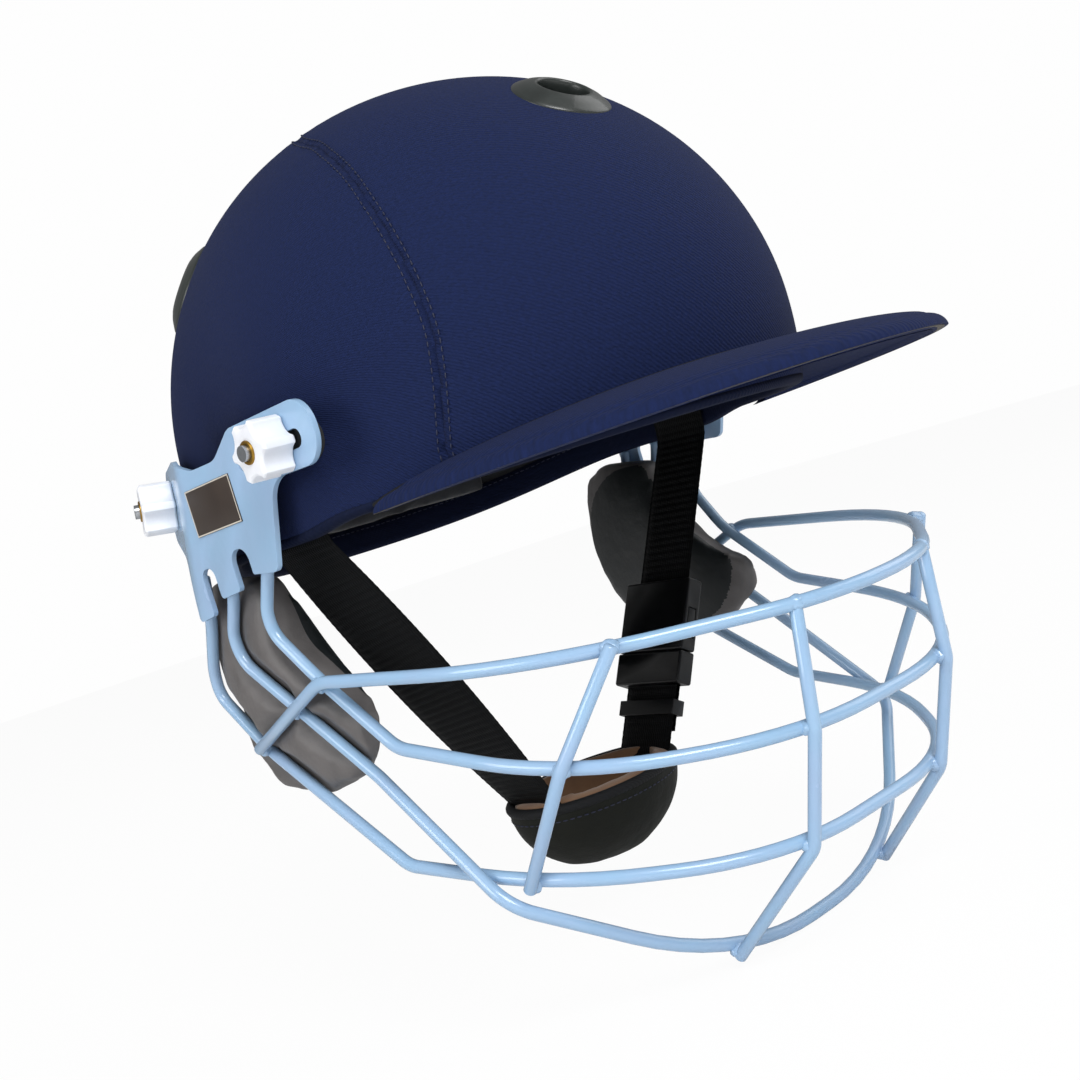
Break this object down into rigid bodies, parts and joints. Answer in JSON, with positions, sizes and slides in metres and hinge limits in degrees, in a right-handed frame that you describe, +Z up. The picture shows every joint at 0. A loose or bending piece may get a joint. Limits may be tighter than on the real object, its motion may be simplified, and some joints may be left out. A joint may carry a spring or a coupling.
{
  "type": "cricket helmet",
  "caption": "Cloth covered cricket helmet with a peak, a welded wire face guard on slotted side plates, cheek pads and a buckled chin strap with a cup.",
  "frame": {"origin": "centre of the head opening, on the level part of the rim", "axes": "+Z up through the crown, -Y out over the peak, +X to the wearer's left"},
  "size_m": [0.2516, 0.3031, 0.3151],
  "materials": {
    "shell_plastic": "matte moulded shell",
    "navy_cloth": "fine twill cloth",
    "black_tape": "woven binding tape",
    "peak_board": "stiff board",
    "eyelet_plastic": "satin moulded plastic",
    "foam": "cloth faced foam",
    "towelling": "soft towelling band",
    "steel": "zinc plated",
    "rubber": "matte",
    "buckle_plastic": "satin moulded plastic",
    "blue_paint": "gloss stove enamel",
    "pad_cloth": "moulded knitted cloth over foam",
    "label_film": "plain dark film",
    "white_nylon": "satin nylon",
    "brass": "turned",
    "webbing": "ribbed webbing",
    "cup_cloth": "coated cloth",
    "cup_lining": "suede lining"
  },
  "bodies": {
    "helmet": {"shell": "shell_plastic", "front_cover_panel": "navy_cloth", "rear_cover_panel": "navy_cloth", "rim_binding": "black_tape", "peak_board": "peak_board", "peak_top_cover": "navy_cloth", "peak_under_cover": "navy_cloth", "peak_binding": "navy_cloth", "front_vent": "eyelet_plastic", "rear_right_vent": "eyelet_plastic", "rear_left_vent": "eyelet_plastic", "vent_retainers": "eyelet_plastic", "crown_pad": "foam", "front_pad": "foam", "rear_pad": "foam", "side_pad_right": "foam", "side_pad_left": "foam", "sweatband": "towelling", "guard_screws": "steel", "shell_washers": "steel", "rubber_washers": "rubber", "strap_rivets": "steel", "strap_rivet_washers": "buckle_plastic"},
    "face_guard": {"side_plate_right": "blue_paint", "side_plate_left": "blue_paint", "top_bar": "blue_paint", "second_bar": "blue_paint", "third_bar": "blue_paint", "bottom_bar": "blue_paint", "outer_upright_right": "blue_paint", "outer_upright_left": "blue_paint", "centre_upright_right": "blue_paint", "centre_upright_left": "blue_paint", "cheek_pad_right": "pad_cloth", "cheek_pad_left": "pad_cloth", "label_right": "label_film", "label_left": "label_film"},
    "knob_front_right": {"star_knob_front_right": "white_nylon", "knob_insert_front_right": "brass"},
    "knob_front_left": {"star_knob_front_left": "white_nylon", "knob_insert_front_left": "brass"},
    "knob_rear_right": {"star_knob_rear_right": "white_nylon", "knob_insert_rear_right": "brass"},
    "knob_rear_left": {"star_knob_rear_left": "white_nylon", "knob_insert_rear_left": "brass"},
    "chin_strap": {"strap_right": "webbing", "strap_left_upper": "webbing", "strap_left_lower": "webbing", "buckle_socket": "buckle_plastic", "buckle_plug": "buckle_plastic", "strap_tail": "webbing", "strap_keeper": "buckle_plastic", "chin_cup_panel": "cup_cloth", "chin_cup_lining": "cup_lining"}
  },
  "joints": [
    {"name": "face_guard_slide", "type": "slide", "parent": "helmet", "child": "face_guard", "axis": [0, -1, 0], "range_m": [0, 0.007]},
    {"name": "star_knob_front_right_turn", "type": "hinge", "parent": "helmet", "child": "knob_front_right", "pos_m": [-0.112, -0.032, 0.0272], "axis": [-1, 0, 0], "continuous": true},
    {"name": "star_knob_front_left_turn", "type": "hinge", "parent": "helmet", "child": "knob_front_left", "pos_m": [0.112, -0.032, 0.0272], "axis": [1, 0, 0], "continuous": true},
    {"name": "star_knob_rear_right_turn", "type": "hinge", "parent": "helmet", "child": "knob_rear_right", "pos_m": [-0.10256, 0.061, 0.0245], "axis": [-0.9135, 0.3868, 0.1257], "continuous": true},
    {"name": "star_knob_rear_left_turn", "type": "hinge", "parent": "helmet", "child": "knob_rear_left", "pos_m": [0.10256, 0.061, 0.0245], "axis": [0.9135, 0.3868, 0.1257], "continuous": true},
    {"name": "chin_strap_swing", "type": "hinge", "parent": "helmet", "child": "chin_strap", "pos_m": [0, -0.002, 0.013], "axis": [1, 0, 0], "range_deg": [-20, 25]}
  ]
}
